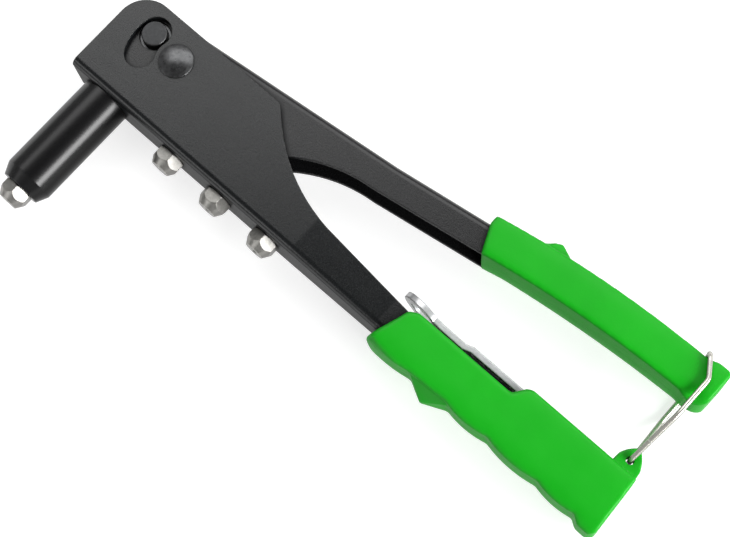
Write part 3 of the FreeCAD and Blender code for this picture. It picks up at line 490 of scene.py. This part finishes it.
upper_side = outline([
    (-111.8, 144.8), (-100.7, 149.8), (-109.5, 235.2, 520, -1), (-108.8, 238.4), (-108.8, 240.6),
    (-112.8, 246.2, 5.6, 1), (-124.4, 246.4), (-126.5, 244.4, 2.1, 1), (-126.5, 240.6), (-124.9, 236.2),
    (-115.4, 144.8, 430, 1),
])
thumb_rib = outline([
    (-116, 163.2), (-118.6, 163.2), (-122.6, 167.4), (-124.0, 169.6), (-121.0, 176.2), (-116, 176.2),
])
upper_socket = outline([
    (-110.6, 134), (-112.1, 143.9), (-118.9, 185), (-121.7, 228.4), (-112.4, 228.4), (-108.8, 188),
    (-101.1, 150), (-98.5, 134),
])
upper = moulded(
    "upper_grip_moulding",
    [
        prism("side", upper_side, -GRIP_HALF, GRIP_HALF),
        peaked(prism("rib", thumb_rib, -9.8, 9.8), (-124.0, 169.6), 0.85),
    ],
    [prism("socket", upper_socket, -SOCKET_HALF, SOCKET_HALF)],
    upper_bow,
)
# A black strip along the lower grip's edge under the wrench: the body's tang edge showing from y 167 on,
# and from y 150 to 167 painted shade standing for the dark gap between wrench and grip.
tang_and_gap_shade_outline = outline([
    (-68.4, 196.2), (-70.6, 196.2), (-70.6, 171.4), (-69.5, 167.4), (-69.5, 150.0), (-68.4, 150.0),
])
tang_and_gap_shade_strip = prism("tang_edge_and_gap_shade", tang_and_gap_shade_outline, -6.5, 6.5)
tang_and_gap_shade_strip.data.materials.append(MATERIALS["body_black"])
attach(tang_and_gap_shade_strip, "frame")

for piece, node, body in ((lower, "lower_grip", "frame"), (upper, "upper_grip", "lever")):
    piece.data.materials.clear()
    piece.data.materials.append(MATERIALS["grip_green"])
    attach(piece, body)
    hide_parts(node)


# ---------------------------------------------------------------- jaw spring
SPRING_BACK, SPRING_FRONT = -45.4, -37.8
SPRING_LENGTH = SPRING_FRONT - SPRING_BACK
SPRING_RADIUS, SPRING_WIRE, SPRING_TURNS = 4.3, 0.5, 5
SPRING_STEPS, WIRE_SIDES = 200, 12


def coil(name):
    """A tube round a helix along the barrel axis, closed at both ends, in the place of the CAD spring."""
    shape = bmesh.new()
    rings = []
    for step in range(SPRING_STEPS + 1):
        share = step / SPRING_STEPS
        turn = math.tau * SPRING_TURNS * share
        outward = Vector((0, math.sin(turn), -math.cos(turn)))
        onward = Vector((SPRING_LENGTH, 0, 0))
        onward += Vector((0, math.cos(turn), math.sin(turn))) * math.tau * SPRING_TURNS * SPRING_RADIUS
        aside = onward.normalized().cross(outward)
        middle = Vector((SPRING_BACK + SPRING_LENGTH * share, 0, 0)) + outward * SPRING_RADIUS
        angles = [math.tau * side / WIRE_SIDES for side in range(WIRE_SIDES)]
        points = [middle + (outward * math.cos(a) + aside * math.sin(a)) * SPRING_WIRE for a in angles]
        rings.append([shape.verts.new(point * MM) for point in points])
    for first, second in zip(rings, rings[1:]):
        for side in range(WIRE_SIDES):
            after = (side + 1) % WIRE_SIDES
            shape.faces.new((first[side], first[after], second[after], second[side]))
    shape.faces.new(rings[0][::-1])
    shape.faces.new(rings[-1])
    bmesh.ops.recalc_face_normals(shape, faces=shape.faces)
    mesh = bpy.data.meshes.new(name)
    shape.to_mesh(mesh)
    shape.free()
    for face in mesh.polygons:
        face.use_smooth = len(face.vertices) == 4
    made = bpy.data.objects.new(name, mesh)
    scene.collection.objects.link(made)
    return made


spring = coil("jaw_spring_coil")
spring.data.materials.append(MATERIALS["wire"])
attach(spring, "puller")
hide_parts("jaw_spring")
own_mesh(spring)


# ---------------------------------------------------------------- floor, light and camera
FLOOR_HALF, FLOOR_DROP = 3.0, 0.0002
SKY = ((0.0, 0.34), (0.55, 0.30), (0.93, 0.06))  # (height, grey): palest at the walls
CENTRE = (-0.065, 0.115, 0.0)


def pale_floor():
    look = Look("pale_floor", Roughness=0.85, IOR=1.3, Emission_Color=(1, 1, 1, 1), Emission_Strength=0.74)
    tone = look.noise(400, detail=2)
    look.to("Base Color", look.blend(look.range(tone, 0.3, 0.7), grey(0.46), grey(0.49)))
    shape = bmesh.new()
    bmesh.ops.create_grid(shape, x_segments=4, y_segments=4, size=FLOOR_HALF)
    mesh = bpy.data.meshes.new("floor")
    shape.to_mesh(mesh)
    shape.free()
    floor = bpy.data.objects.new("floor", mesh)
    scene.collection.objects.link(floor)
    floor.location = (-0.06, 0.12, CAD_BOX[0].z - FLOOR_DROP)
    mesh.materials.append(look.material)


def soft_light(name, spot, target, size, power):
    light = bpy.data.lights.new(name, "AREA")
    light.shape = "RECTANGLE"
    light.size, light.size_y = size
    light.energy = power
    lamp = bpy.data.objects.new(name, light)
    scene.collection.objects.link(lamp)
    lamp.location = spot
    lamp.rotation_euler = (Vector(target) - Vector(spot)).to_track_quat("-Z", "Y").to_euler()


def studio():
    """Dim grey surroundings: darkest overhead, where the camera hangs, and paler lower down."""
    world = bpy.data.worlds.new("studio")
    world.use_nodes = True
    tree = world.node_tree
    place = tree.nodes.new("ShaderNodeTexCoord")
    split = tree.nodes.new("ShaderNodeSeparateXYZ")
    ramp = tree.nodes.new("ShaderNodeValToRGB")
    tree.links.new(place.outputs["Generated"], split.inputs[0])
    tree.links.new(split.outputs[2], ramp.inputs[0])
    tree.links.new(ramp.outputs[0], tree.nodes["Background"].inputs["Color"])
    marks = ramp.color_ramp.elements
    marks.new(0.5)
    for mark, (spot, level) in zip(marks, SKY):
        mark.position = spot
        mark.color = (*grey(level), 1.0)
    tree.nodes["Background"].inputs["Strength"].default_value = 1.0
    return world


def toward(x, y, z, distance):
    """The spot at a distance from the tool's middle, in the direction (x, y, z)."""
    return Vector(CENTRE) + Vector((x, y, z)).normalized() * distance


pale_floor()
soft_light("ceiling_box", toward(-0.495, -0.35, 0.795, 1.6), CENTRE, size=(2.1, 1.15), power=16)
soft_light("side_strip", toward(-0.12, 0.89, 0.42, 1.5), CENTRE, size=(1.3, 0.62), power=34)
soft_light("low_fill", toward(0.75, -0.35, 0.45, 1.7), CENTRE, size=(0.9, 0.5), power=2.5)
scene.world = studio()
scene.view_settings.view_transform = "Standard"
scene.view_settings.look = "None"

LENS_MM = 88.27
CAMERA_SPOT = Vector((0.03407, 0.25601, 0.64220))
CAMERA_RIGHT = Vector((-0.67015, 0.74063, -0.04857))
CAMERA_UP = Vector((-0.72543, -0.63975, 0.25391))
camera = bpy.data.objects.new("camera", bpy.data.cameras.new("camera"))
scene.collection.objects.link(camera)
back = CAMERA_RIGHT.cross(CAMERA_UP).normalized()
turned = Matrix((CAMERA_RIGHT, CAMERA_UP, back)).transposed()
camera.matrix_world = Matrix.Translation(CAMERA_SPOT) @ turned.to_4x4()
camera.data.sensor_width = 36.0
camera.data.lens = LENS_MM
camera.data.clip_start = 0.01
camera.data.clip_end = 20.0
scene.camera = camera
